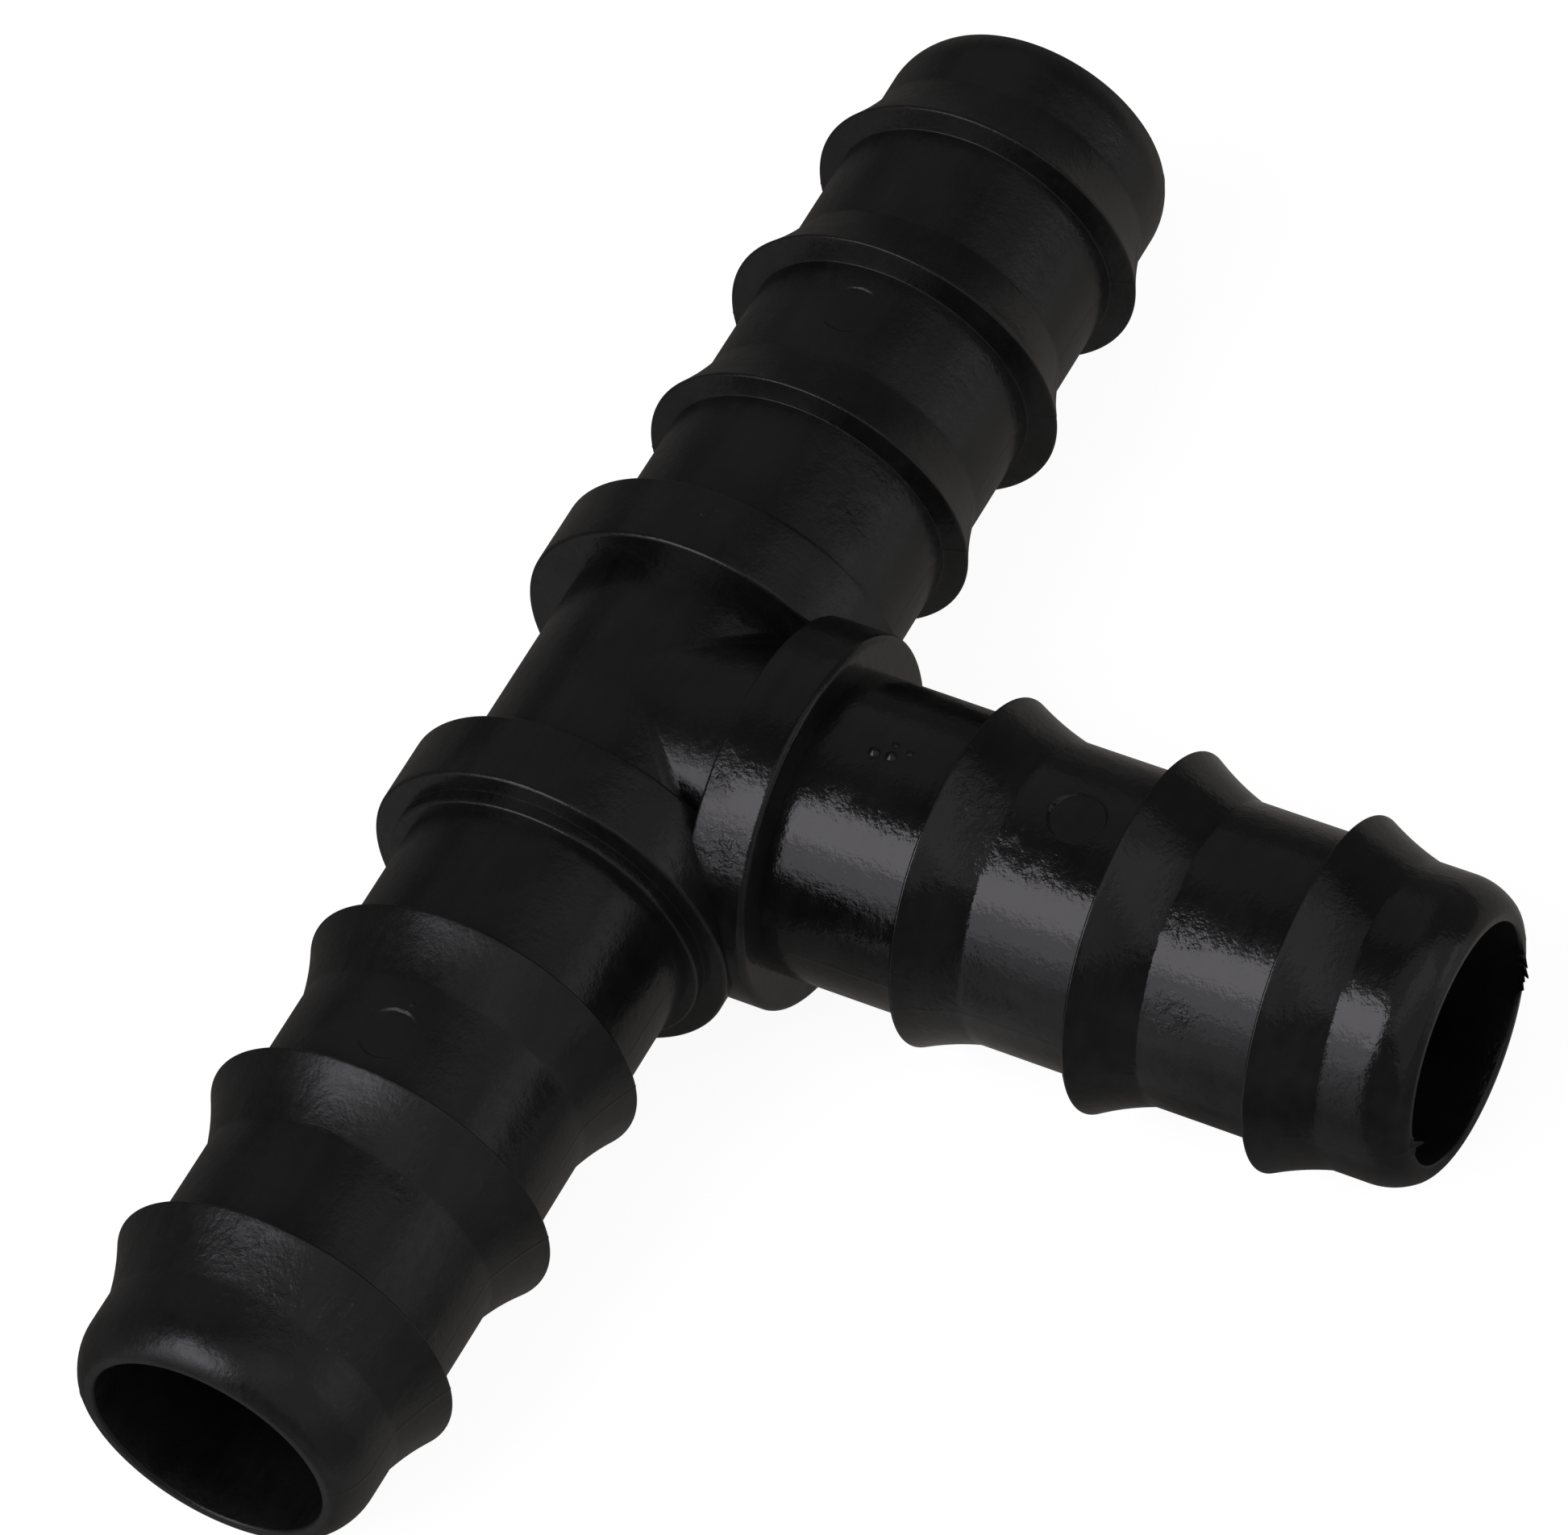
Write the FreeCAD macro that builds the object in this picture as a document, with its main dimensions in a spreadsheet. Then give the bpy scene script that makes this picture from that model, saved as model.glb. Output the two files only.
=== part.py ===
"""Barbed tee connector for 16 mm polyethylene irrigation pipe, in millimetres.

The real connector is one injection moulding. It is described here as the four
sections a person would name: the tee hub with its three stop collars, and the
three barbed spigots that grow out of it. The sections meet face to face 0.65 mm
outside each collar: on the run where the tube leaves the boss ring of its collar, and
at the same distance on the branch, whose collar has no boss ring.

Frame: the origin is where the run axis and the branch axis cross. +X runs along
the run, the branch points along -Y, and +Z is normal to the plane of the tee.
"""
import FreeCAD, Part

import collections
import math
import os

import Sketcher

DIMENSIONS = (
    ("bore_r", 5.1, "radius of the water way"),
    ("tube_r", 6.5, "spigot tube radius between the barbs"),
    ("hub_r", 6.4, "outside radius of the run tube and the branch tube of the hub"),
    ("hub_blend", 0.8, "blend along the saddle where the two hub tubes meet"),
    ("collar_r", 8.1, "stop collar radius"),
    ("collar_edge", 0.16, "rounding of the collar edges"),
    ("run_collar_from", 5.1, "hub side of a run collar, from the branch axis"),
    ("run_collar_to", 8.3, "shoulder of a run collar, from the branch axis"),
    ("branch_collar_from", 6.1, "hub side of the branch collar, from the run axis"),
    ("branch_collar_to", 8.9, "shoulder of the branch collar, from the run axis"),
    ("boss_r", 7.1, "radius of the boss ring on a collar shoulder"),
    ("boss_len", 0.65, "length of the boss ring"),
    ("boss_edge", 0.12, "rounding of the boss ring edge"),
    ("branch_edge", 0.3, "rounding of the outer edge of the branch collar"),
    ("first_barb", 14.8, "crest of the barb next to a run collar, from the branch axis"),
    ("barb_pitch", 7.9, "distance from barb to barb"),
    ("barb_r_inner", 7.48, "crest radius of the barb next to the collar"),
    ("barb_r_middle", 7.72, "crest radius of the middle barb"),
    ("barb_r_outer", 7.56, "crest radius of the barb next to the mouth"),
    ("barb_back", 0.25, "axial length of the steep back face of a barb"),
    ("barb_edge", 0.08, "rounding between the back face and the crest land"),
    ("barb_land", 0.14, "length of the cylindrical crest land"),
    ("barb_slope", 2.55, "axial length of the lead-in slope of a barb"),
    ("barb_hollow_r", 12.0, "radius of the shallow hollow in the lead-in slope"),
    ("run_half", 37.0, "run mouth from the branch axis"),
    ("branch_extra", 0.4, "how much longer the branch leg is than a run leg"),
    ("nose_r", 6.53, "radius of the plain nose outside the last barb"),
    ("nose_len", 1.9, "length of the rounded end of the nose"),
    ("nose_round", 2.7, "radius of the long rounding of the nose"),
    ("lip_len", 0.45, "length of the tight rounding at the mouth"),
    ("lip_r_outer", 6.08, "radius where the tight rounding starts"),
    ("lip_round", 1.05, "radius of the tight rounding at the mouth"),
    ("lip_r", 5.5, "outer radius of the flat ring of the mouth"),
    ("mouth_edge", 0.15, "rounding of the inner edge of the mouth"),
    ("witness_r", 1.2, "radius of the round ejector mark on each leg"),
    ("witness_sink", 0.15, "depth of the ejector mark below the crown of the tube"),
    ("witness_gap", 5.4, "centre of the ejector mark, from the crest of the inner barb"),
)

# An arm of the tee: the axis it lies along and the side of the origin it is on.
Arm = collections.namedtuple("Arm", "axis side")
LEFT = Arm("X", -1)
RIGHT = Arm("X", 1)
BRANCH = Arm("Y", -1)

# A corner of an arm's half section. away is its distance from the origin along the
# arm and radius its distance from the arm's axis, both as sums of dimensions. arc is
# None for a straight edge to the next corner, or (radius, bulge) for a round one.
Corner = collections.namedtuple("Corner", "away radius arc")
OUTWARDS = 1
INWARDS = -1


def expression(length):
    """The spreadsheet expression of a sum of dimensions."""
    words = []
    for name in length:
        sign = "- " if name.startswith("-") else "+ "
        words.append(sign + "Dimensions." + name.lstrip("-"))
    return " ".join(words).removeprefix("+ ")


def number(sheet, length):
    """The present value of a sum of dimensions."""
    total = 0.0
    for name in length:
        value = float(getattr(sheet, name.lstrip("-")))
        total += -value if name.startswith("-") else value
    return total


def make_dimensions(doc):
    """The sheet of driving dimensions."""
    sheet = doc.addObject("Spreadsheet::Sheet", "Dimensions")
    for row, (alias, value, meaning) in enumerate(DIMENSIONS, start=1):
        sheet.set("A%d" % row, alias)
        sheet.set("B%d" % row, str(value))
        sheet.set("C%d" % row, meaning)
        sheet.setAlias("B%d" % row, alias)
    doc.recompute()
    return sheet


def new_body(doc, label):
    body = doc.addObject("PartDesign::Body", label)
    body.Label = label
    body.Placement = FreeCAD.Placement()
    return body


def new_sketch(body, name, plane_role):
    """A sketch lying on one of the body's own origin planes."""
    sketch = body.newObject("Sketcher::SketchObject", name)
    for feature in body.Origin.OriginFeatures:
        if feature.Role == plane_role:
            sketch.AttachmentSupport = [(feature, "")]
    sketch.MapMode = "FlatFace"
    return sketch


def bind(sketch, kind, ends, length):
    """Dimension the step from one point of a sketch to another."""
    value = number(sketch.Document.Dimensions, length)
    index = sketch.addConstraint(Sketcher.Constraint(kind, *ends[0], *ends[1], value))
    sketch.setExpression("Constraints[%d]" % index, expression(length))


def bind_radius(sketch, edge, length):
    value = number(sketch.Document.Dimensions, length)
    index = sketch.addConstraint(Sketcher.Constraint("Radius", edge, value))
    sketch.setExpression("Constraints[%d]" % index, expression(length))


def in_sketch(arm, away, radius):
    """A point of an arm's half section as a point of the sketch."""
    if arm.axis == "X":
        return FreeCAD.Vector(arm.side * away, radius, 0)
    return FreeCAD.Vector(radius, arm.side * away, 0)


def middle_of_arc(arm, start, end, radius, bulge):
    """The point half way round an arc that bulges away from or towards the arm's axis."""
    chord = end - start
    sagitta = radius - math.sqrt(radius ** 2 - (chord.Length / 2) ** 2)
    normal = FreeCAD.Vector(-chord.y, chord.x, 0).normalize()
    outwards = normal.y if arm.axis == "X" else normal.x
    if outwards * bulge < 0:
        normal = -normal
    return (start + end) / 2 + normal * sagitta


def draw_edges(sketch, arm, corners):
    """Draw the closed outline and return each edge's start and end, as sketch points."""
    sheet = sketch.Document.Dimensions
    points = []
    for corner in corners:
        away, radius = number(sheet, corner.away), number(sheet, corner.radius)
        points.append(in_sketch(arm, away, radius))
    starts, ends = [], []
    for i, corner in enumerate(corners):
        start, end = points[i], points[(i + 1) % len(points)]
        if corner.arc is None:
            sketch.addGeometry(Part.LineSegment(start, end), False)
        else:
            radius, bulge = corner.arc
            middle = middle_of_arc(arm, start, end, number(sheet, radius), bulge)
            sketch.addGeometry(Part.Arc(start, middle, end), False)
        runs_forward = sketch.getPoint(i, 1).distanceToPoint(start) < 1e-6
        starts.append((i, 1) if runs_forward else (i, 2))
        ends.append((i, 2) if runs_forward else (i, 1))
    return starts, ends


def hold_corners(sketch, corners, starts, field, measure, level, side):
    """Fix one coordinate of every corner, with one dimension per row of equal values.

    A straight edge between equal values is made level instead, so that cylinders
    stay exact cylinders and flat faces stay flat.
    """
    axis_line = -2 if measure == "DistanceX" else -1
    for i, corner in enumerate(corners):
        length, before = getattr(corner, field), corners[i - 1]
        if i > 0 and before.arc is None and getattr(before, field) == length:
            sketch.addConstraint(Sketcher.Constraint(level, i - 1))
        elif not length:
            sketch.addConstraint(Sketcher.Constraint("PointOnObject", *starts[i], axis_line))
        else:
            origin = (-1, 1)
            outward = (origin, starts[i]) if side > 0 else (starts[i], origin)
            bind(sketch, measure, outward, length)


def draw_half_section(sketch, arm, corners):
    """Draw an arm's half section as a closed, fully dimensioned outline."""
    starts, ends = draw_edges(sketch, arm, corners)
    for i, end in enumerate(ends):
        following = starts[(i + 1) % len(starts)]
        sketch.addConstraint(Sketcher.Constraint("Coincident", *end, *following))
    if arm.axis == "X":
        hold_corners(sketch, corners, starts, "away", "DistanceX", "Vertical", arm.side)
        hold_corners(sketch, corners, starts, "radius", "DistanceY", "Horizontal", 1)
    else:
        hold_corners(sketch, corners, starts, "away", "DistanceY", "Horizontal", arm.side)
        hold_corners(sketch, corners, starts, "radius", "DistanceX", "Vertical", 1)
    for i, corner in enumerate(corners):
        if corner.arc is not None:
            bind_radius(sketch, i, corner.arc[0])


def turn_arm(body, name, arm, corners):
    """Add an arm to a body by turning its half section about the arm's axis."""
    sketch = new_sketch(body, name + "_section", "XY_Plane")
    draw_half_section(sketch, arm, corners)
    turned = body.newObject("PartDesign::Revolution", name)
    turned.Profile = sketch
    turned.ReferenceAxis = (sketch, ["H_Axis" if arm.axis == "X" else "V_Axis"])
    turned.Angle = 360
    body.Document.recompute()
    return turned


def drill(body, name, plane_role, length, both_ways):
    """Cut the round water way into a body, square to one of its origin planes."""
    before = body.Shape.Volume
    sketch = new_sketch(body, name + "_circle", plane_role)
    radius = float(body.Document.Dimensions.bore_r)
    circle = Part.Circle(FreeCAD.Vector(0, 0, 0), FreeCAD.Vector(0, 0, 1), radius)
    sketch.addGeometry(circle, False)
    sketch.addConstraint(Sketcher.Constraint("Coincident", 0, 3, -1, 1))
    bind_radius(sketch, 0, ("bore_r",))
    hole = body.newObject("PartDesign::Pocket", name)
    hole.Profile = sketch
    hole.Midplane = both_ways
    hole.Reversed = not both_ways
    hole.setExpression("Length", expression(length))
    body.Document.recompute()
    return before - body.Shape.Volume


def boss_corners(collar_to):
    """The boss ring that stands on a run collar, up to the seam."""
    seam = (collar_to, "boss_len")
    return (
        Corner((collar_to,), ("boss_r",), None),
        Corner(seam + ("-boss_edge",), ("boss_r",), (("boss_edge",), OUTWARDS)),
        Corner(seam, ("boss_r", "-boss_edge"), None),
        Corner(seam, (), None),
    )


def stub_corners(collar_to):
    """The first stretch of the branch tube past its collar, up to the seam."""
    seam = (collar_to, "boss_len")
    return (
        Corner((collar_to,), ("tube_r",), None),
        Corner(seam, ("tube_r",), None),
        Corner(seam, (), None),
    )


def hub_arm_corners(collar_from, collar_to, outer_edge):
    """Half section of one arm of the hub: tube and stop collar."""
    edge = (("collar_edge",), OUTWARDS)
    return (
        Corner((), (), None),
        Corner((), ("hub_r",), None),
        Corner((collar_from,), ("hub_r",), None),
        Corner((collar_from,), ("collar_r", "-collar_edge"), edge),
        Corner((collar_from, "collar_edge"), ("collar_r",), None),
        Corner((collar_to, "-" + outer_edge), ("collar_r",), ((outer_edge,), OUTWARDS)),
        Corner((collar_to,), ("collar_r", "-" + outer_edge), None),
    )


def saddle_edges(shape, hub_r):
    """Names of the edges where the run tube and the branch tube of the hub meet."""
    names = []
    for i, edge in enumerate(shape.Edges, start=1):
        middle = edge.valueAt((edge.FirstParameter + edge.LastParameter) / 2)
        off_run = abs(math.hypot(middle.y, middle.z) - hub_r)
        off_branch = abs(math.hypot(middle.x, middle.z) - hub_r)
        if max(off_run, off_branch) < 0.01:
            names.append("Edge%d" % i)
    return names


def blend_saddle(body):
    """Round the inside corner where the branch tube leaves the run tube."""
    crossing = body.Tip
    names = saddle_edges(crossing.Shape, float(body.Document.Dimensions.hub_r))
    blend = body.newObject("PartDesign::Fillet", "saddle_blend")
    blend.Base = (crossing, names)
    blend.setExpression("Radius", "Dimensions.hub_blend")
    body.Document.recompute()


def make_tee_hub(doc):
    """The centre of the tee: two crossing tubes with a stop collar on every arm."""
    body = new_body(doc, "tee_hub")
    run = hub_arm_corners("run_collar_from", "run_collar_to", "collar_edge")
    run += boss_corners("run_collar_to")
    branch = hub_arm_corners("branch_collar_from", "branch_collar_to", "branch_edge")
    branch += stub_corners("branch_collar_to")
    turn_arm(body, "right_arm", RIGHT, run)
    turn_arm(body, "left_arm", LEFT, run)
    turn_arm(body, "branch_arm", BRANCH, branch)
    blend_saddle(body)
    seam = ("run_collar_to", "boss_len")
    drill(body, "run_bore", "YZ_Plane", seam + seam, True)
    removed = drill(body, "branch_bore", "XZ_Plane", ("branch_collar_to", "boss_len"), False)
    sheet = doc.Dimensions
    branch_len = number(sheet, ("branch_collar_to", "boss_len", "-bore_r"))
    if removed < math.pi * float(sheet.bore_r) ** 2 * branch_len:
        raise RuntimeError("the branch bore does not run down the branch")
    return body


def barb_corners(crest, crest_r, foot_r):
    """One barb: steep back towards the hub, short land, hollow slope towards the mouth."""
    back_foot = crest + ("-barb_back",)
    land_end = crest + ("barb_edge", "barb_land")
    return (
        Corner(back_foot, ("tube_r",), None),
        Corner(crest, (crest_r, "-barb_edge"), (("barb_edge",), OUTWARDS)),
        Corner(crest + ("barb_edge",), (crest_r,), None),
        Corner(land_end, (crest_r,), (("barb_hollow_r",), INWARDS)),
        Corner(land_end + ("barb_slope",), (foot_r,), None),
    )


def spigot_corners(collar_to, shift):
    """Half section of a barbed spigot, from the seam to the mouth and back along the bore."""
    seam = (collar_to, "boss_len")
    crest = shift + ("first_barb",)
    mouth = shift + ("run_half",)
    barbs = ()
    for crest_r, foot_r in (
        ("barb_r_inner", "tube_r"),
        ("barb_r_middle", "tube_r"),
        ("barb_r_outer", "nose_r"),
    ):
        barbs += barb_corners(crest, crest_r, foot_r)
        crest += ("barb_pitch",)
    nose = (
        Corner(mouth + ("-nose_len",), ("nose_r",), (("nose_round",), OUTWARDS)),
        Corner(mouth + ("-lip_len",), ("lip_r_outer",), (("lip_round",), OUTWARDS)),
        Corner(mouth, ("lip_r",), None),
        Corner(mouth, ("bore_r", "mouth_edge"), (("mouth_edge",), INWARDS)),
        Corner(mouth + ("-mouth_edge",), ("bore_r",), None),
    )
    return (Corner(seam, ("bore_r",), None), Corner(seam, ("tube_r",), None)) + barbs + nose


def press_witness(body, arm, shift):
    """Sink the flat round ejector mark into the +Z side of the tube, past the inner barb."""
    sketch = new_sketch(body, "ejector_mark_circle", "XY_Plane")
    floor = expression(("tube_r", "-witness_sink"))
    sketch.setExpression(".AttachmentOffset.Base.z", floor)
    sheet = body.Document.Dimensions
    away = shift + ("first_barb", "witness_gap")
    centre = in_sketch(arm, number(sheet, away), 0)
    radius = float(sheet.witness_r)
    sketch.addGeometry(Part.Circle(centre, FreeCAD.Vector(0, 0, 1), radius), False)
    bind_radius(sketch, 0, ("witness_r",))
    on_axis = -1 if arm.axis == "X" else -2
    sketch.addConstraint(Sketcher.Constraint("PointOnObject", 0, 3, on_axis))
    ends = ((-1, 1), (0, 3)) if arm.side > 0 else ((0, 3), (-1, 1))
    bind(sketch, "DistanceX" if arm.axis == "X" else "DistanceY", ends, away)
    mark = body.newObject("PartDesign::Pocket", "ejector_mark")
    mark.Profile = sketch
    mark.setExpression("Length", expression(("barb_r_middle",)))
    mark.Reversed = True
    body.Document.recompute()
    return mark


def make_spigot(doc, label, arm, collar_to, shift):
    body = new_body(doc, label)
    turn_arm(body, "barbed_tube", arm, spigot_corners(collar_to, shift))
    press_witness(body, arm, shift)
    return body


def check_object(item):
    for state in item.State:
        if state in ("Invalid", "Error"):
            raise RuntimeError("%s is %s" % (item.Label, state))


def check_body(body):
    shape = body.Shape
    if shape.isNull() or not shape.isValid():
        raise RuntimeError(body.Label + " has no valid shape")
    if len(shape.Solids) != 1:
        raise RuntimeError(body.Label + " is not one solid")


def main():
    doc = FreeCAD.newDocument("barbed_tee")
    make_dimensions(doc)
    bodies = (
        make_tee_hub(doc),
        make_spigot(doc, "run_spigot_left", LEFT, "run_collar_to", ()),
        make_spigot(doc, "run_spigot_right", RIGHT, "run_collar_to", ()),
        make_spigot(doc, "branch_spigot", BRANCH, "branch_collar_to", ("branch_extra",)),
    )
    doc.recompute()
    for item in doc.Objects:
        check_object(item)
    os.makedirs("parts", exist_ok=True)
    for body in bodies:
        check_body(body)
        body.Shape.exportStep(os.path.join("parts", body.Label + ".step"))
        box = body.Shape.BoundBox
        print(body.Label, round(body.Shape.Volume, 2), box)


main()
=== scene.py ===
"""Looks of the barbed tee connector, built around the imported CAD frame.

The object is one black plastic moulding. The hub keeps its CAD mesh, under a fine
skin on its three stop collars. Each barbed spigot is rebuilt as a fine mesh of the
same half section, with the small marks that moulding and handling leave on it:
ejector mark, parting line, pimples, a scratch and the ragged flash at the branch
mouth.

A half section is a line of (distance from the middle of the tee, radius). Angles go
round a leg, with 90 degrees at the top. Lengths in the mesh code are in millimetres
and are turned into metres when a mesh is made. The stage is in metres throughout.
"""
import math

import bpy
import numpy as np
from mathutils import Matrix, Quaternion, Vector


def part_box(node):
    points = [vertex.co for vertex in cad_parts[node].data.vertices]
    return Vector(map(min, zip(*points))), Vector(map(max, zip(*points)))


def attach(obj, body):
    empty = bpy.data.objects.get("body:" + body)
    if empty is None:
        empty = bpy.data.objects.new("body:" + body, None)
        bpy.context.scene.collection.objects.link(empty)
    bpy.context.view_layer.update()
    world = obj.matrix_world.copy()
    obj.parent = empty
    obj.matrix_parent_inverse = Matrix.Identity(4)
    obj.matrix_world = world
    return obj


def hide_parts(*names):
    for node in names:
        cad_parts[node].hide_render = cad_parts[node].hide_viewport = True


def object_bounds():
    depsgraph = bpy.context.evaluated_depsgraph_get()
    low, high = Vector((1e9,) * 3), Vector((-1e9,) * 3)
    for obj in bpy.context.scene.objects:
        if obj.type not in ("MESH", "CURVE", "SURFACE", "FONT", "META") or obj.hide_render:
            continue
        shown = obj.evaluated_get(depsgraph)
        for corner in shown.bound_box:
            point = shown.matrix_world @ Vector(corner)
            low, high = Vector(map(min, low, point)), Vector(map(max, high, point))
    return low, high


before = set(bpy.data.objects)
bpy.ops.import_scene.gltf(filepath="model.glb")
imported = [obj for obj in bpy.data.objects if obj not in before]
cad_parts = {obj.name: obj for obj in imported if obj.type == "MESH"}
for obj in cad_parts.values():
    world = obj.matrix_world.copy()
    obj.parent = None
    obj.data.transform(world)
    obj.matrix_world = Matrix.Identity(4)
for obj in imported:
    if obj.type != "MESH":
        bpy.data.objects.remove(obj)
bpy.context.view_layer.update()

MM = 0.001

# The axis of the frame that a leg lies along.
RUN = 0
BRANCH = 1

# Half section of a spigot, as in the CAD source, with a sharper crest on the barbs.
# The barbs are placed from the mouth; FIRST_BARB is for a mouth at RUN_MOUTH.
BORE_R = 5.1
TUBE_R = 6.5
RUN_MOUTH = 37.0
FIRST_BARB = 14.8
BARB_PITCH = 7.9
BARB_R = (7.48, 7.72, 7.56)
BARB_BACK = 0.25
BARB_EDGE = 0.08
BARB_LAND = 0.04
BARB_SLOPE = 2.65
BARB_HOLLOW_R = 12.0
NOSE_R = 6.53
NOSE_LEN = 1.9
NOSE_ROUND = 2.7
LIP_LEN = 0.45
LIP_R_OUTER = 6.08
LIP_ROUND = 1.05
LIP_R = 5.5
MOUTH_EDGE = 0.15

# Half section of a stop collar, as in the CAD source, and of the skin over it.
COLLAR_R = 8.1
COLLAR_EDGE = 0.16
RUN_COLLAR = (5.1, 8.3)
BRANCH_COLLAR = (6.1, 8.9)
BOSS_R = 7.1
BOSS_LEN = 0.65
BOSS_EDGE = 0.12
BRANCH_EDGE = 0.3
SKIN = 0.012
SKIN_INNER_R = 6.1

# Ejector mark: radius, width of its edge, usual depth and distance from the first
# barb. It is on the upper side only, where the sine of the angle is above WITNESS_SIDE.
WITNESS_R = 1.2
WITNESS_EDGE = 0.11
WITNESS_SINK = 0.15
WITNESS_GAP = 5.4
WITNESS_SIDE = 0.5

# Unevenness of the moulded wall, and the parting line down both sides of a leg.
WALL_WAVES = 7
WALL_WAVE_HEIGHT = 0.006
PARTING_HEIGHT = 0.018
PARTING_WIDTH = 0.07

# Flash: the radius it grows from, how fast it fades away from there (square
# millimetres), the waves in its ragged edge and how far it leans in for its height.
FLASH_R = 5.22
FLASH_FADE = 0.02
FLASH_WAVES = 5
FLASH_LEAN = 0.9
FLASH_SEED = 50

# The marks fade in over these lengths from the seam, and from a radius outside the bore.
FADE_FROM_SEAM = 0.4
FADE_FROM_R = BORE_R + 0.2
FADE_OVER_R = 0.3

# How finely the meshes are cut: rows along the half section, columns round the leg in
# degrees. A mark has (half width, row spacing), a fine span (start, end, column step).
LINE_STEP = 0.01
SPIGOT_BLUR = 0.03
SPIGOT_ROW = 0.33
SPIGOT_ROW_TURN = math.radians(12)
COLLAR_BLUR = 0.01
COLLAR_ROW = 0.3
COLLAR_ROW_TURN = math.radians(9)
COLLAR_COLUMN = 0.9
BORE_ROWS = 25
OUTSIDE_R = BORE_R + 0.5
WITNESS_ROWS = (1.3, 0.06)
PIMPLE_ROWS = (0.28, 0.07)
COLUMN = 1.5
FLASH_COLUMN = 0.7
FINE_COLUMNS = ((70, 110, 0.5), (178.4, 181.6, 0.4), (1, 1.6, 0.4), (358.4, 359.6, 0.4))
ARC_POINTS = 24
EDGE_POINTS = 6
SHARP_ANGLE = math.radians(40)

OUTWARDS = 1
INWARDS = -1

# Colours of the plastic: clean, clouded and scuffed. Roughness as (lowest, highest).
PLASTIC = (0.0046, 0.0044, 0.0046, 1)
PLASTIC_CLOUDED = (0.0120, 0.0114, 0.0118, 1)
PLASTIC_SCUFFED = (0.10, 0.098, 0.104, 1)
PLASTIC_IOR = 1.5
ROUGH_RUN = (0.27, 0.37)
ROUGH_BRANCH = (0.11, 0.18)
ROUGHER_IN_PATCHES = 0.07
ROUGHER_WHERE_HANDLED = 0.08
HUB_GLOSS = 0.4
BUMP_HEIGHT = 0.0000055

# Where handling has scuffed the plastic: centre and reach in millimetres.
SCUFFS = (
    ((-31.8, 0.6, 7.2), 2.2), ((-33.0, -1.9, 6.3), 2.6), ((-32.5, -4.4, 5.2), 2.0),
    ((-29.5, -6.3, 1.7), 0.7), ((-26.0, -3.6, 5.2), 1.3),
    ((-0.9, -16.7, 6.8), 1.6), ((-1.9, -18.1, 6.3), 1.9),
    ((-2.4, -11.1, 6.1), 0.9), ((-2.5, -20.2, 6.0), 1.2), ((-2.9, -26.8, 5.8), 1.6),
    ((-5.5, -27.2, 3.4), 1.4), ((-6.1, -7.7, 5.3), 1.9), ((-4.0, -6.5, 7.0), 1.7),
    ((11.3, -4.3, 4.9), 1.8), ((14.0, -4.6, 4.6), 1.5), ((7.05, -0.3, 8.1), 0.6),
)

# The floor, and a glowing card under it that only the gloss sees, a painted reflection of the
# floor. Its glow is painted light and shade: less below the run, where the tee shades the
# floor, than beside the branch, and in the corner in front of the left leg only a share of
# that is left.
WHITE = (1.0, 1.0, 1.0)
FLOOR_COLOUR = (0.3, 0.3, 0.3, 1)
FLOOR_GLOW = 0.93
FLOOR_HALF = 4.0
FLOOR_GAP = 0.0001
CARD_COLOUR = (1.0, 0.96, 0.90, 1)
CARD_DEPTH = 0.0005
CARD_ROUGHNESS = 0.18
CARD_UNDER_RUN = 0.08
CARD_BESIDE_BRANCH = 0.18
CARD_CORNER_SHARE = 0.3

# Lights: angles in degrees as seen from the object.
LAMP_DISTANCE = 0.6
KEY_AZIMUTH = 153
KEY_WIDTH = 40
KEY_TOP = 62
KEY_COLOUR = (1.0, 0.965, 1.03)
KEY_PARTS = (("key_low", -2, 0.6), ("key_middle", 14, 0.6), ("key_high", 35, 1.15))
WORLD_GREY = (0.07, 0.07, 0.07, 1)

# Camera: a long lens, with lengths in millimetres and its place in metres.
LENS = 219.2
SENSOR = 36.0
CAMERA_PLACE = (-0.195208, -0.145936, 0.309131)
CAMERA_TURN = (0.798417, 0.301842, -0.122923, -0.506272)


def arc_points(start, end, radius, bulge, count=ARC_POINTS):
    """Points of an arc between two points of the half section, without its end."""
    start, end = np.array(start, float), np.array(end, float)
    chord = end - start
    half = np.hypot(*chord) / 2
    normal = np.array((-chord[1], chord[0])) / (2 * half)
    if normal[1] * bulge < 0:
        normal = -normal
    centre = (start + end) / 2 - normal * math.sqrt(radius ** 2 - half ** 2)
    a = math.atan2(*(start - centre)[::-1])
    b = math.atan2(*(end - centre)[::-1])
    turn = (b - a + math.pi) % (2 * math.pi) - math.pi
    angles = a + turn * np.linspace(0, 1, count, endpoint=False)
    return [tuple(centre + radius * np.array((math.cos(t), math.sin(t)))) for t in angles]


def barb_line(crest, crest_r, foot_r):
    """One barb: a steep back, a small rounded edge, a land and a hollow slope."""
    land_start = crest + BARB_EDGE
    land_end = crest + BARB_EDGE + BARB_LAND
    line = [(crest - BARB_BACK, TUBE_R)]
    line += arc_points((crest, crest_r - BARB_EDGE), (land_start, crest_r),
                       BARB_EDGE, OUTWARDS, EDGE_POINTS)
    line.append((land_start, crest_r))
    line += arc_points((land_end, crest_r), (land_end + BARB_SLOPE, foot_r),
                       BARB_HOLLOW_R, INWARDS)
    line.append((land_end + BARB_SLOPE, foot_r))
    return line


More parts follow.
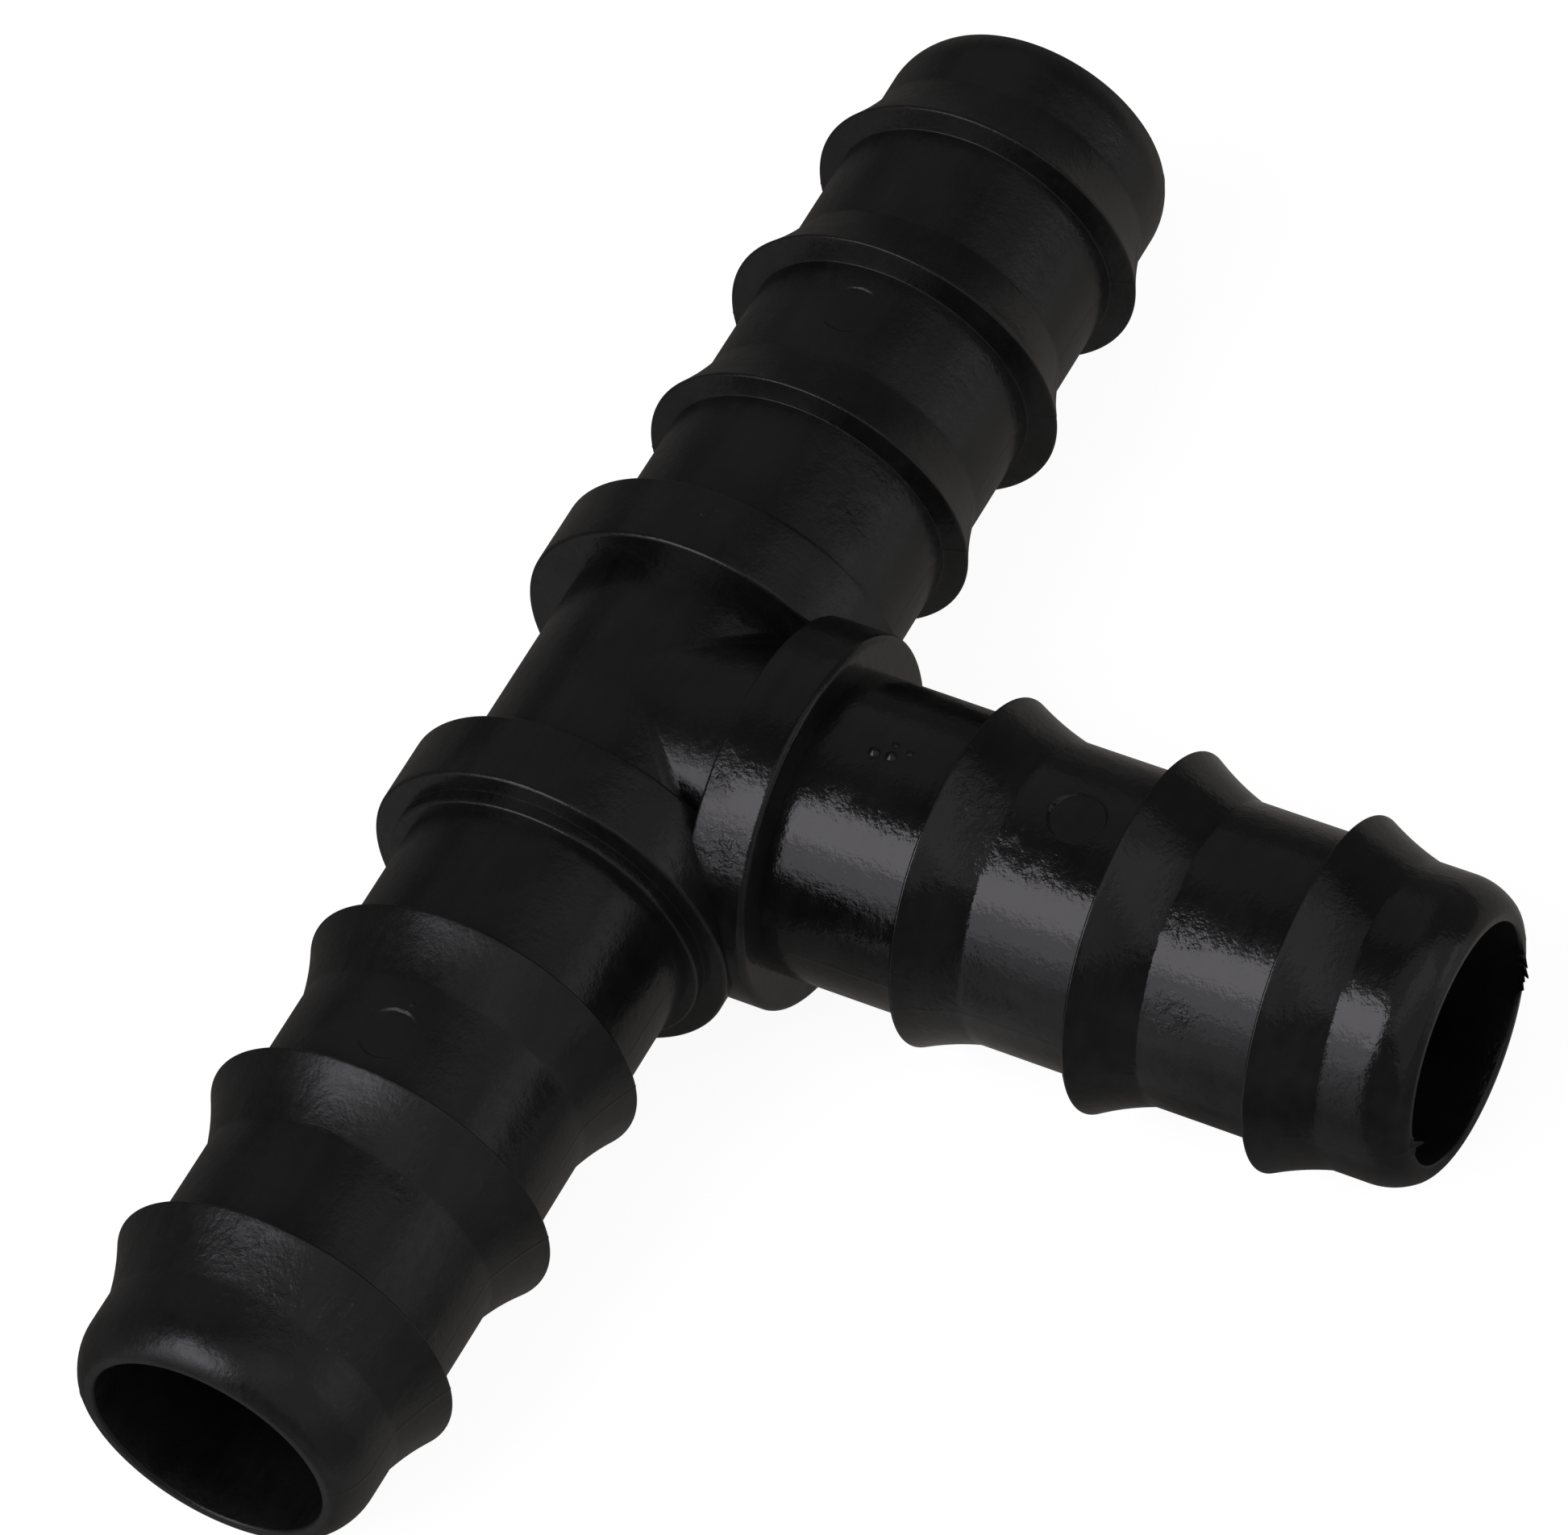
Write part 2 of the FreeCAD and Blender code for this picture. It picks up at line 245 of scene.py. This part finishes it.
def outer_line(start, mouth):
    """The outside of a spigot from its start, round its mouth and into the bore."""
    first = mouth - RUN_MOUTH + FIRST_BARB
    line = [(start, TUBE_R + SKIN)]
    for number, crest_r in enumerate(BARB_R):
        is_last = number == len(BARB_R) - 1
        line += barb_line(first + number * BARB_PITCH, crest_r, NOSE_R if is_last else TUBE_R)
    line += arc_points((mouth - NOSE_LEN, NOSE_R), (mouth - LIP_LEN, LIP_R_OUTER),
                       NOSE_ROUND, OUTWARDS)
    line += arc_points((mouth - LIP_LEN, LIP_R_OUTER), (mouth, LIP_R), LIP_ROUND, OUTWARDS)
    line.append((mouth, LIP_R))
    line.append((mouth, BORE_R + MOUTH_EDGE))
    line += arc_points((mouth, BORE_R + MOUTH_EDGE), (mouth - MOUTH_EDGE, BORE_R),
                       MOUTH_EDGE, INWARDS, EDGE_POINTS)[1:]
    line.append((mouth - MOUTH_EDGE, BORE_R))
    return np.array(line)


def collar_line(first, last, with_boss):
    """Half section of the skin over one collar, a hair outside the CAD surface."""
    low, high, top = first - SKIN, last + SKIN, COLLAR_R + SKIN
    rim = COLLAR_EDGE if with_boss else BRANCH_EDGE
    line = [(low, SKIN_INNER_R), (low, top - COLLAR_EDGE)]
    line += arc_points((low, top - COLLAR_EDGE), (low + COLLAR_EDGE, top),
                       COLLAR_EDGE, OUTWARDS)
    line.append((low + COLLAR_EDGE, top))
    line += arc_points((high - rim, top), (high, top - rim), rim, OUTWARDS)
    line.append((high, top - rim))
    if with_boss:
        end, boss = last + BOSS_LEN + SKIN, BOSS_R + SKIN
        line.append((high, boss))
        line += arc_points((end - BOSS_EDGE, boss), (end, boss - BOSS_EDGE),
                           BOSS_EDGE, OUTWARDS)
        line += [(end, boss - BOSS_EDGE), (end, SKIN_INNER_R)]
    else:
        line.append((high, SKIN_INNER_R))
    return np.array(line)


def softened(line, blur):
    """A line sampled evenly and finely, with its corners rounded off a little."""
    length = np.concatenate(([0], np.cumsum(np.hypot(*np.diff(line, axis=0).T))))
    even = np.arange(0, length[-1], LINE_STEP)
    points = np.stack([np.interp(even, length, line[:, k]) for k in (0, 1)], 1)
    reach = int(4 * blur / LINE_STEP)
    weights = np.exp(-0.5 * (np.arange(-reach, reach + 1) * LINE_STEP / blur) ** 2)
    weights /= weights.sum()
    smooth = points.copy()
    for k in (0, 1):
        padded = np.pad(points[:, k], reach, mode="reflect", reflect_type="odd")
        smooth[:, k] = np.convolve(padded, weights, mode="valid")
    return smooth


def thinned(points, spacing, turn, close_up=()):
    """Rows of the mesh: wide apart on straight stretches, close on bends and marks.

    Each entry of close_up is the place of a mark, its half width and the row spacing.
    """
    step = np.diff(points, axis=0)
    heading = np.unwrap(np.arctan2(step[:, 1], step[:, 0]))
    bend = np.abs(np.diff(heading, append=heading[-1]))
    cost = np.hypot(*step.T) / spacing + bend / turn
    outside = points[:-1, 1] > OUTSIDE_R
    for away, half_width, fine in close_up:
        near = np.abs(points[:-1, 0] - away) < half_width
        cost += np.where(near & outside, np.hypot(*step.T) / fine, 0)
    total = np.concatenate(([0], np.cumsum(cost)))
    wanted = np.linspace(0, total[-1], int(total[-1]) + 2)
    return np.stack([np.interp(wanted, total, points[:, k]) for k in (0, 1)], 1)


def columns(fine_spans):
    """Angles round the leg, in degrees, closer together across the given spans."""
    angles = list(np.arange(0, 360, COLUMN))
    for start, end, step in fine_spans:
        angles = [a for a in angles if (a - start + step / 2) % 360 >= end - start + step]
        angles += list(np.arange(start, end, step))
    return np.sort(np.mod(angles, 360))


def normals_of(line):
    """Outward normals of a line that runs from the seam to the mouth, then inwards."""
    along = np.gradient(line, axis=0)
    along /= np.maximum(np.hypot(*along.T), 1e-9)[:, None]
    return np.stack((-along[:, 1], along[:, 0]), 1)


def smooth_step(x):
    x = np.clip(x, 0, 1)
    return x * x * (3 - 2 * x)


def bell(far, width, height):
    """A rounded hump: full height where far is 0, about an eighth of it a width away."""
    return height * np.exp(-2 * (far / width) ** 2)


def ridge(u, arc, start, end, width, height):
    """A thin raised line between two points of the surface."""
    start, end = np.array(start), np.array(end)
    along = end - start
    share = np.clip(((u - start[0]) * along[0] + (arc - start[1]) * along[1])
                    / (along @ along), 0, 1)
    far = np.hypot(u - start[0] - share * along[0], arc - start[1] - share * along[1])
    return bell(far, width, height)


def wobble(u, angle, rng):
    """The faint unevenness of a moulded wall, the same after a full turn."""
    total = np.zeros(np.broadcast(u, angle).shape)
    for _ in range(WALL_WAVES):
        around = rng.integers(1, 7)
        along = rng.uniform(0.3, 1.6)
        phase = rng.uniform(0, 2 * math.pi)
        total += np.sin(along * u + around * angle + phase) / (around + 2 * along)
    return WALL_WAVE_HEIGHT * total


class Spigot:
    """One barbed leg, with what differs from one leg to another.

    pimples: (distance, angle, radius, height); lines: (start, end, width, height),
    each end being (distance, angle); flash: (angle, half width in degrees, height).
    sink is the depth of the ejector mark, overlap how far into the hub the mesh starts.
    """

    def __init__(self, node, axis, side, seed, pimples=(), lines=(), flash=(),
                 sink=WITNESS_SINK, overlap=0.0):
        low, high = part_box(node)
        ends = [abs(low[axis]) / MM, abs(high[axis]) / MM]
        self.node, self.axis, self.side, self.seed = node, axis, side, seed
        self.seam, self.mouth = min(ends), max(ends)
        self.start = self.seam - overlap
        self.sink = sink
        self.pimples, self.lines, self.flash = pimples, lines, flash

    def witness(self):
        """Distance of the middle of the ejector mark."""
        return self.mouth - RUN_MOUTH + FIRST_BARB + WITNESS_GAP


class Collar:
    """One stop collar of the hub: its leg, and where along the leg it lies."""

    def __init__(self, name, axis, side, span):
        self.node, self.axis, self.side, self.span = name, axis, side, span


def arc_from_top(degrees):
    """Length along the tube's surface from its top line."""
    return math.radians(degrees - 90) * TUBE_R


def relief(spigot, u, r, angle):
    """How far each outside point stands out from the plain turned surface, in mm."""
    rng = np.random.default_rng(spigot.seed)
    arc = (angle - math.pi / 2) * TUBE_R
    out = wobble(u, angle, rng)
    for place, degrees, radius, height in spigot.pimples:
        out = out + bell(np.hypot(u - place, arc - arc_from_top(degrees)), radius, height)
    for start, end, width, height in spigot.lines:
        ends = [(place, arc_from_top(degrees)) for place, degrees in (start, end)]
        out = out + ridge(u, arc, *ends, width, height)
    for side_angle in (0.0, math.pi, 2 * math.pi):
        out = out + bell((angle - side_angle) * r, PARTING_WIDTH, PARTING_HEIGHT)
    return out


def sink_witness(spigot, u, r, angle):
    """Radius of each point after the flat round ejector mark has been pressed in."""
    height = np.sin(angle)
    far = np.hypot(u - spigot.witness(), r * np.cos(angle))
    inside = smooth_step((WITNESS_R - far) / WITNESS_EDGE + 0.5) * (height > WITNESS_SIDE)
    floor = (TUBE_R - spigot.sink) / np.maximum(height, WITNESS_SIDE)
    return r + inside * (np.minimum(floor, r) - r)


def add_flash(spigot, u, r, angle, near_lip):
    """Ragged fins left at the parting line, standing out of the mouth ring."""
    rng = np.random.default_rng(spigot.seed + FLASH_SEED)
    for centre, half_width, height in spigot.flash:
        off = (np.degrees(angle) - centre + 180) % 360 - 180
        envelope = smooth_step(1 - np.abs(off) / half_width)
        teeth = np.zeros_like(off)
        for _ in range(FLASH_WAVES):
            teeth += np.sin(off * rng.uniform(0.5, 1.9) + rng.uniform(0, 6.3))
        ragged = np.clip(0.55 + 0.25 * teeth, 0.05, 1)
        fin = near_lip * envelope * ragged * height
        u = u + fin
        r = r - fin * FLASH_LEAN
    return u, r


def spigot_rows(spigot):
    """Rows of a spigot, as (distance, radius): those outside, then those of the bore."""
    line = softened(outer_line(spigot.start, spigot.mouth), SPIGOT_BLUR)
    close_up = [(spigot.witness(), *WITNESS_ROWS)]
    close_up += [(pimple[0], *PIMPLE_ROWS) for pimple in spigot.pimples]
    rows = thinned(line, SPIGOT_ROW, SPIGOT_ROW_TURN, close_up)
    inner = np.linspace(spigot.mouth - MOUTH_EDGE, spigot.start, BORE_ROWS + 1)[1:]
    return rows, np.stack((inner, np.full(BORE_ROWS, BORE_R)), 1)


def spigot_angles(spigot):
    """Angles of the columns of a spigot, in radians, close together at its marks."""
    fine = list(FINE_COLUMNS)
    for centre, half_width, _ in spigot.flash:
        low = (centre - half_width) % 360
        fine.append((low, low + 2 * half_width, FLASH_COLUMN))
    return np.radians(columns(fine))[None, :]


def spigot_mesh(spigot):
    rows, bore = spigot_rows(spigot)
    angle = spigot_angles(spigot)
    normal = normals_of(rows)
    u = rows[:, :1] + 0 * angle
    r = rows[:, 1:] + 0 * angle
    fade = (smooth_step((u - spigot.seam) / FADE_FROM_SEAM)
            * smooth_step((r - FADE_FROM_R) / FADE_OVER_R))
    stand = relief(spigot, u, r, angle) * fade
    u = u + stand * normal[:, :1]
    r = r + stand * normal[:, 1:]
    r = sink_witness(spigot, u, r, angle)
    off_lip = (rows[:, :1] - spigot.mouth) ** 2 + (rows[:, 1:] - FLASH_R) ** 2
    u, r = add_flash(spigot, u, r, angle, np.exp(-2 * off_lip / FLASH_FADE))
    u = np.concatenate((u, bore[:, :1] + 0 * angle))
    r = np.concatenate((r, bore[:, 1:] + 0 * angle))
    return ring_mesh(spigot, u, r, angle)


def collar_mesh(collar):
    line = collar_line(*collar.span, with_boss=collar.axis == RUN)
    rows = thinned(softened(line, COLLAR_BLUR), COLLAR_ROW, COLLAR_ROW_TURN)
    angle = np.radians(np.arange(0, 360, COLLAR_COLUMN))[None, :]
    return ring_mesh(collar, rows[:, :1] + 0 * angle, rows[:, 1:] + 0 * angle, angle)


def ring_mesh(part, u, r, angle):
    """A closed mesh whose rings are the rows of u and r, joined up end to end."""
    points = np.zeros(u.shape + (3,))
    across = 1 - part.axis
    points[..., part.axis] = part.side * u
    points[..., across] = r * np.cos(angle)
    points[..., 2] = r * np.sin(angle)
    count_rows, count_columns = u.shape
    index = np.arange(count_rows * count_columns).reshape(count_rows, count_columns)
    down, beside = np.roll(index, -1, 0), np.roll(index, -1, 1)
    quads = np.stack((index, beside, np.roll(down, -1, 1), down), -1).reshape(-1, 4)
    if (part.axis == RUN) != (part.side > 0):
        quads = quads[:, ::-1]
    mesh = bpy.data.meshes.new(part.node + "_moulded")
    mesh.from_pydata((points.reshape(-1, 3) * MM).tolist(), [], quads.tolist())
    mesh.validate()
    return mesh


def add_piece(mesh, material):
    mesh.materials.append(material)
    mesh.polygons.foreach_set("use_smooth", np.ones(len(mesh.polygons), bool))
    mesh.set_sharp_from_angle(angle=SHARP_ANGLE)
    piece = bpy.data.objects.new(mesh.name, mesh)
    bpy.context.scene.collection.objects.link(piece)
    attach(piece, "root")
    return piece


def add_spigots(material):
    """The three barbed legs, each in place of its CAD node."""
    left = Spigot("run_spigot_left", RUN, -1, seed=11,
                  pimples=((18.6, 92, 0.15, 0.07),), sink=0.11)
    right = Spigot("run_spigot_right", RUN, 1, seed=12,
                   pimples=((15.2, 107, 0.12, 0.06), (30.2, 48, 0.14, 0.06)),
                   lines=(((21.7, 75), (20.8, 81), 0.08, 0.04),), sink=0.09)
    branch = Spigot("branch_spigot", BRANCH, -1, seed=13,
                    pimples=((11.55, 92, 0.24, 0.17), (12.3, 91.5, 0.24, 0.17),
                             (12.2, 86.5, 0.17, 0.1), (12.95, 88, 0.17, 0.11)),
                    flash=((345, 21, 0.45), (182, 8, 0.36)), overlap=0.68)
    for spigot in (left, right, branch):
        piece = add_piece(spigot_mesh(spigot), material)
        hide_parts(spigot.node)


def add_collars(material):
    """Fine skins over the three collars, so that their edges catch the light evenly."""
    for name, axis, side, span in (("collar_left_skin", RUN, -1, RUN_COLLAR),
                                   ("collar_right_skin", RUN, 1, RUN_COLLAR),
                                   ("collar_branch_skin", BRANCH, -1, BRANCH_COLLAR)):
        add_piece(collar_mesh(Collar(name, axis, side, span)), material)


class Nodes:
    """Short calls for building a node tree."""

    def __init__(self, tree, keep=False):
        self.tree = tree
        if not keep:
            tree.nodes.clear()

    def add(self, kind, **settings):
        node = self.tree.nodes.new(kind)
        for name, value in settings.items():
            setattr(node, name, value)
        return node

    def link(self, output, target):
        self.tree.links.new(output, target)

    def noise(self, coords, scale, detail, stretch=(1, 1, 1), roughness=0.5):
        mapping = self.add("ShaderNodeMapping")
        mapping.inputs["Scale"].default_value = stretch
        self.link(coords, mapping.inputs["Vector"])
        node = self.add("ShaderNodeTexNoise")
        node.inputs["Scale"].default_value = scale
        node.inputs["Detail"].default_value = detail
        node.inputs["Roughness"].default_value = roughness
        self.link(mapping.outputs["Vector"], node.inputs["Vector"])
        return node.outputs["Fac"]

    def ramp(self, value, low, high, out_low, out_high):
        node = self.add("ShaderNodeMapRange", clamp=True)
        for name, number in (("From Min", low), ("From Max", high),
                             ("To Min", out_low), ("To Max", out_high)):
            node.inputs[name].default_value = number
        self.link(value, node.inputs["Value"])
        return node.outputs["Result"]

    def maths(self, operation, a, b):
        node = self.add("ShaderNodeMath", operation=operation)
        for socket, value in zip(node.inputs, (a, b)):
            if isinstance(value, (int, float)):
                socket.default_value = value
            else:
                self.link(value, socket)
        return node.outputs["Value"]

    def plus(self, a, b):
        return self.maths("ADD", a, b)

    def times(self, a, b):
        return self.maths("MULTIPLY", a, b)

    def blend(self, factor, a, b):
        """A mix of colour a, fixed or from a socket, and the fixed colour b."""
        node = self.add("ShaderNodeMix", data_type="RGBA")
        if isinstance(a, tuple):
            node.inputs["A"].default_value = a
        else:
            self.link(a, node.inputs["A"])
        node.inputs["B"].default_value = b
        self.link(factor, node.inputs["Factor"])
        return node.outputs["Result"]

    def place(self, coords):
        """The X, Y and Z outputs of a place on the object, in metres."""
        node = self.add("ShaderNodeSeparateXYZ")
        self.link(coords, node.inputs[0])
        return node.outputs

    def spot(self, coords, centre, reach):
        """1 at a point of the object, fading to 0 at its reach, both in millimetres."""
        far = self.add("ShaderNodeVectorMath", operation="DISTANCE")
        self.link(coords, far.inputs[0])
        far.inputs[1].default_value = [c * MM for c in centre]
        return self.ramp(far.outputs["Value"], reach * MM, 0, 0, 1)

    def spots(self, coords, places):
        total = 0.0
        for centre, reach in places:
            total = self.maths("MAXIMUM", total, self.spot(coords, centre, reach))
        return total


def gloss_of(n, coords):
    """1 on the glossy branch, less on the hub, 0 on the satin legs of the run."""
    place = n.place(coords)
    branch = n.ramp(place["Y"], -0.008, -0.004, 1, 0)
    off_centre = n.maths("ABSOLUTE", place["X"], 0)
    hub = n.ramp(off_centre, 0.0088, 0.0091, HUB_GLOSS, 0)
    return n.maths("MAXIMUM", branch, hub)


def black_plastic():
    """Black polypropylene: fine grain, uneven gloss, faint scuffs and streaks."""
    material = bpy.data.materials.new("black_plastic_moulded")
    material.use_nodes = True
    n = Nodes(material.node_tree)
    coords = n.add("ShaderNodeTexCoord").outputs["Object"]
    shader = n.add("ShaderNodeBsdfPrincipled")
    output = n.add("ShaderNodeOutputMaterial")
    n.link(shader.outputs["BSDF"], output.inputs["Surface"])
    shader.inputs["IOR"].default_value = PLASTIC_IOR

    cloud = n.noise(coords, 260, 3)
    grain = n.noise(coords, 6500, 2)
    coarse = n.noise(coords, 2300, 3, roughness=0.6)
    streaks = n.noise(coords, 1100, 3, stretch=(0.3, 1.6, 1))
    flecks = n.ramp(n.noise(coords, 3600, 2), 0.62, 0.76, 0, 1)
    patches = n.ramp(n.noise(coords, 170, 4, roughness=0.6), 0.52, 0.68, 0, 1)
    torn = n.ramp(n.noise(coords, 1500, 3, roughness=0.65), 0.42, 0.62, 0, 1)
    handled = n.spots(coords, SCUFFS)
    scuffs = n.times(handled, torn)
    wrinkles = n.times(scuffs, n.noise(coords, 3900, 3, roughness=0.6))

    clouding = n.ramp(n.plus(cloud, n.times(streaks, 0.5)), 0.55, 1.0, 0, 1)
    tone = n.blend(clouding, PLASTIC, PLASTIC_CLOUDED)
    worn = n.blend(n.times(scuffs, flecks), tone, PLASTIC_SCUFFED)
    n.link(worn, shader.inputs["Base Color"])

    dull = n.plus(coarse, n.times(cloud, 0.6))
    branch = n.ramp(dull, 0.6, 1.0, *ROUGH_BRANCH)
    run = n.ramp(dull, 0.6, 1.0, *ROUGH_RUN)
    smoother = n.times(gloss_of(n, coords), n.maths("SUBTRACT", branch, run))
    rough = n.plus(run, smoother)
    rough = n.plus(rough, n.times(patches, ROUGHER_IN_PATCHES))
    rough = n.plus(rough, n.times(n.plus(handled, scuffs), ROUGHER_WHERE_HANDLED))
    n.link(rough, shader.inputs["Roughness"])

    height = n.plus(n.times(grain, 1.4), n.times(coarse, 4.2))
    height = n.plus(height, n.times(n.times(streaks, patches), 3.0))
    height = n.plus(height, n.times(wrinkles, 13.0))
    bump = n.add("ShaderNodeBump")
    bump.inputs["Strength"].default_value = 1.0
    bump.inputs["Distance"].default_value = BUMP_HEIGHT
    n.link(height, bump.inputs["Height"])
    n.link(bump.outputs["Normal"], shader.inputs["Normal"])
    return material


def glowing_material(name, colour, glow_colour, glow, roughness=0.9, specular=0.0):
    """A material that gives off an even light of its own."""
    material = bpy.data.materials.new(name)
    material.use_nodes = True
    n = Nodes(material.node_tree)
    shader = n.add("ShaderNodeBsdfPrincipled")
    output = n.add("ShaderNodeOutputMaterial")
    n.link(shader.outputs["BSDF"], output.inputs["Surface"])
    shader.inputs["Base Color"].default_value = colour
    shader.inputs["Roughness"].default_value = roughness
    shader.inputs["Specular IOR Level"].default_value = specular
    shader.inputs["Emission Color"].default_value = glow_colour
    shader.inputs["Emission Strength"].default_value = glow
    return material


def painted_floor_reflection_material():
    """The card's material: a painted reflection of the floor, glossy, with a glow that
    changes from place to place as painted light and shade.
    """
    material = glowing_material("dim_card", (0, 0, 0, 1), CARD_COLOUR, 1.0,
                                CARD_ROUGHNESS, specular=0.5)
    n = Nodes(material.node_tree, keep=True)
    place = n.place(n.add("ShaderNodeTexCoord").outputs["Object"])
    # Painted shade: the glow is lowest under the run, where the tee shades the floor, and cut
    # to a share in the corner in front of the left leg.
    level = n.ramp(place["Y"], -0.014, -0.004, CARD_BESIDE_BRANCH, CARD_UNDER_RUN)
    near_run = n.ramp(place["Y"], -0.026, -0.016, CARD_CORNER_SHARE, 1)
    right_side = n.ramp(place["X"], 0.0, 0.01, CARD_CORNER_SHARE, 1)
    glow = n.times(level, n.maths("MAXIMUM", near_run, right_side))
    n.link(glow, material.node_tree.nodes["Principled BSDF"].inputs["Emission Strength"])
    return material


def add_plane(name, height, half, material):
    mesh = bpy.data.meshes.new(name)
    corners = ((-half, -half), (half, -half), (half, half), (-half, half))
    mesh.from_pydata([(x, y, height) for x, y in corners], [], [(0, 1, 2, 3)])
    mesh.materials.append(material)
    plane = bpy.data.objects.new(name, mesh)
    bpy.context.scene.collection.objects.link(plane)
    return plane


def add_floor(height):
    """A pale floor, and a dimmer glowing card just under it for the gloss to reflect: a
    painted reflection of the floor, with painted shade in its glow.
    """
    pale = glowing_material("pale_floor", FLOOR_COLOUR, (*WHITE, 1), FLOOR_GLOW)
    floor = add_plane("floor", height, FLOOR_HALF, pale)
    floor.visible_glossy = False
    # The card glows though it is no lamp: a painted reflection of the floor, seen only by
    # glossy rays.
    card = add_plane("bounce_card", height - CARD_DEPTH, FLOOR_HALF, painted_floor_reflection_material())
    card.visible_camera = False
    card.visible_diffuse = False


def direction(azimuth, elevation):
    """Unit vector from the object, azimuth from +X towards +Y, in degrees."""
    a, e = math.radians(azimuth), math.radians(elevation)
    return Vector((math.cos(a) * math.cos(e), math.sin(a) * math.cos(e), math.sin(e)))


def add_softbox(name, azimuth, elevation, width_deg, height_deg, radiance, colour):
    """A rectangular light that looks this wide and high from the object."""
    light = bpy.data.lights.new(name, "AREA")
    light.shape = "RECTANGLE"
    light.size = 2 * LAMP_DISTANCE * math.tan(math.radians(width_deg / 2))
    light.size_y = 2 * LAMP_DISTANCE * math.tan(math.radians(height_deg / 2))
    light.energy = radiance * math.pi * light.size * light.size_y
    light.color = colour
    lamp = bpy.data.objects.new(name, light)
    bpy.context.scene.collection.objects.link(lamp)
    lamp.location = direction(azimuth, elevation) * LAMP_DISTANCE
    lamp.rotation_mode = "QUATERNION"
    lamp.rotation_quaternion = lamp.location.to_track_quat("Z", "Y")
    lamp.visible_camera = False


def add_nested(parts, azimuth, elevation, width_deg, height_deg, radiance, colour):
    """Softboxes of one centre, each a share of the full size, for a soft fall-off."""
    for name, share in parts:
        add_softbox(name, azimuth, elevation, width_deg * share, height_deg * share,
                    radiance, colour)


def add_lights():
    """A key from behind the left leg, brighter higher up, and dimmer fills."""
    for name, lowest, radiance in KEY_PARTS:
        add_softbox(name, KEY_AZIMUTH, (lowest + KEY_TOP) / 2, KEY_WIDTH, KEY_TOP - lowest,
                    radiance, KEY_COLOUR)
    add_nested((("side_wide", 1.0), ("side_middle", 0.75), ("side_narrow", 0.5)),
               -94, 36, 84, 66, 0.21, (0.98, 0.99, 1.02))
    add_softbox("low_side", -63, 13, 24, 24, 0.25, WHITE)
    add_nested((("top_wide", 1.0), ("top_middle", 0.7), ("top_narrow", 0.4)),
               -120, 72, 66, 46, 0.19, WHITE)
    add_softbox("far_fill", 38, 46, 46, 46, 0.09, (1.0, 0.97, 1.0))


def add_world():
    """Dim grey surroundings, which the camera itself sees as white."""
    world = bpy.data.worlds.new("studio")
    bpy.context.scene.world = world
    world.use_nodes = True
    n = Nodes(world.node_tree)
    dim = n.add("ShaderNodeBackground")
    dim.inputs["Color"].default_value = WORLD_GREY
    pale = n.add("ShaderNodeBackground")
    pale.inputs["Color"].default_value = (*WHITE, 1)
    seen = n.add("ShaderNodeLightPath").outputs["Is Camera Ray"]
    mix = n.add("ShaderNodeMixShader")
    output = n.add("ShaderNodeOutputWorld")
    n.link(seen, mix.inputs["Fac"])
    n.link(dim.outputs["Background"], mix.inputs[1])
    n.link(pale.outputs["Background"], mix.inputs[2])
    n.link(mix.outputs["Shader"], output.inputs["Surface"])


def add_camera():
    """Long lens from above the left mouth, looking down across the tee."""
    data = bpy.data.cameras.new("camera")
    data.sensor_width = SENSOR
    data.lens = LENS
    data.clip_start = 0.01
    data.clip_end = 20.0
    camera = bpy.data.objects.new("camera", data)
    bpy.context.scene.collection.objects.link(camera)
    turn = Quaternion(CAMERA_TURN).to_matrix().to_4x4()
    camera.matrix_world = Matrix.Translation(Vector(CAMERA_PLACE)) @ turn
    bpy.context.scene.camera = camera


def main():
    plastic = black_plastic()
    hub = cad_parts["tee_hub"]
    hub.data.materials.clear()
    hub.data.materials.append(plastic)
    add_spigots(plastic)
    add_collars(plastic)

    low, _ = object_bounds()
    add_floor(low.z - FLOOR_GAP)
    add_world()
    add_lights()
    add_camera()
    bpy.context.scene.view_settings.view_transform = "Standard"


main()
